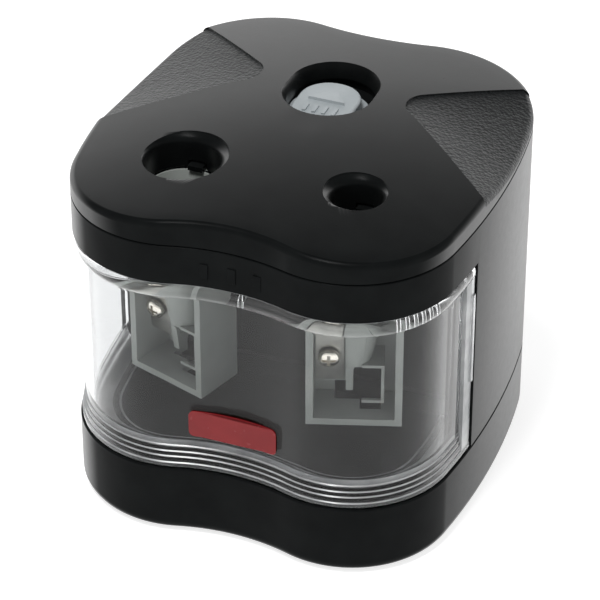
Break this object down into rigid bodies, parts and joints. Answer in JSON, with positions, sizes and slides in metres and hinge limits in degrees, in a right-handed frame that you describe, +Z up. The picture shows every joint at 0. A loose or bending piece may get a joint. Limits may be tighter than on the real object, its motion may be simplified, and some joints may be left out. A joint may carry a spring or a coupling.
{
  "type": "battery pencil sharpener",
  "caption": "Battery pencil sharpener with a thick and a standard pencil hole, geared rotating cutters, clear pull-out shavings drawer and slide-release top cover.",
  "frame": {"origin": "on the floor under the middle of the body", "axes": "+Z up, -Y towards the front with the drawer, +X to the right"},
  "size_m": [0.08, 0.0812, 0.074],
  "materials": {
    "black": "fine matt moulded ABS",
    "clear": "clear moulded polystyrene",
    "label_red": "printed gloss film",
    "button_grey": "satin moulded",
    "cutter_grey": "satin moulded",
    "nylon": "moulded",
    "blade_steel": "ground",
    "steel": "drawn",
    "nickel": "nickel plated",
    "cell": "plain printed sleeve",
    "rubber": "matt",
    "wire_red": "PVC",
    "wire_black": "PVC"
  },
  "bodies": {
    "housing": {"base_tray": "black", "body_shell": "black", "start_switch": "black", "motor_can": "nickel", "motor_end_cap": "nylon", "motor_screw_left": "steel", "motor_screw_right": "steel", "motor_lead_red": "wire_red", "motor_lead_black": "wire_black", "battery_cell_1": "cell", "battery_cell_2": "cell", "battery_cell_3": "cell", "battery_cell_4": "cell", "cell_spring_2": "steel", "cell_spring_4": "steel", "contact_bridge": "nickel", "terminal_left": "nickel", "terminal_right": "nickel", "idler_shaft": "steel", "left_bush": "nylon", "right_bush": "nylon", "feeler_spring": "steel", "case_screw_front_left": "steel", "case_screw_front_right": "steel", "case_screw_rear_left": "steel", "case_screw_rear_right": "steel", "foot_front_left": "rubber", "foot_front_right": "rubber", "foot_rear_left": "rubber", "foot_rear_right": "rubber"},
    "cover": {"top_cover": "black", "latch_spring": "steel"},
    "latch": {"slide_button": "button_grey", "latch_plate": "nylon"},
    "drawer": {"drawer": "clear", "drawer_label": "label_red"},
    "left_cutter": {"left_cutter_gear": "cutter_grey", "left_cutter_carrier": "cutter_grey", "left_blade": "blade_steel", "left_blade_screw": "nickel"},
    "right_cutter": {"right_cutter_gear": "cutter_grey", "right_cutter_carrier": "cutter_grey", "right_blade": "blade_steel", "right_blade_screw": "nickel"},
    "idler": {"compound_gear": "nylon"},
    "motor_rotor": {"motor_shaft": "steel", "motor_pinion": "nylon"},
    "feeler": {"feeler_bar": "black"},
    "battery_door": {"battery_door": "black", "door_contact_left": "nickel", "door_contact_right": "nickel", "cell_spring_1": "steel", "cell_spring_3": "steel"}
  },
  "joints": [
    {"name": "left_cutter_spin", "type": "hinge", "parent": "housing", "child": "left_cutter", "pos_m": [-0.0176, -0.0187, 0.062], "axis": [0, 0, 1], "continuous": true},
    {"name": "right_cutter_spin", "type": "hinge", "parent": "housing", "child": "right_cutter", "pos_m": [0.0176, -0.0187, 0.062], "axis": [0, 0, 1], "continuous": true},
    {"name": "idler_spin", "type": "hinge", "parent": "housing", "child": "idler", "pos_m": [0, -0.0055, 0.062], "axis": [0, 0, 1], "continuous": true},
    {"name": "motor_spin", "type": "hinge", "parent": "housing", "child": "motor_rotor", "pos_m": [0, 0.0125, 0.062], "axis": [0, 0, 1], "continuous": true},
    {"name": "drawer_slide", "type": "slide", "parent": "housing", "child": "drawer", "axis": [0, -1, 0], "range_m": [0, 0.045]},
    {"name": "cover_lift", "type": "slide", "parent": "housing", "child": "cover", "axis": [0, 0, 1], "range_m": [0, 0.03]},
    {"name": "button_slide", "type": "slide", "parent": "cover", "child": "latch", "axis": [0, 1, 0], "range_m": [0, 0.0035], "stiffness_N_per_m": 300, "springref_m": -0.002, "deforming": ["latch_spring"]},
    {"name": "feeler_slide", "type": "slide", "parent": "housing", "child": "feeler", "axis": [0, 1, 0], "range_m": [0, 0.0018], "stiffness_N_per_m": 200, "springref_m": -0.001, "deforming": ["feeler_spring"]},
    {"name": "battery_door_hinge", "type": "hinge", "parent": "housing", "child": "battery_door", "pos_m": [0, 0.0175, 0.0008], "axis": [-1, 0, 0], "range_deg": [0, 100]}
  ],
  "couplings": [
    {"joint": "right_cutter_spin", "follows": "left_cutter_spin", "ratio": 1},
    {"joint": "idler_spin", "follows": "left_cutter_spin", "ratio": -1.75},
    {"joint": "motor_spin", "follows": "left_cutter_spin", "ratio": 4.8125}
  ]
}
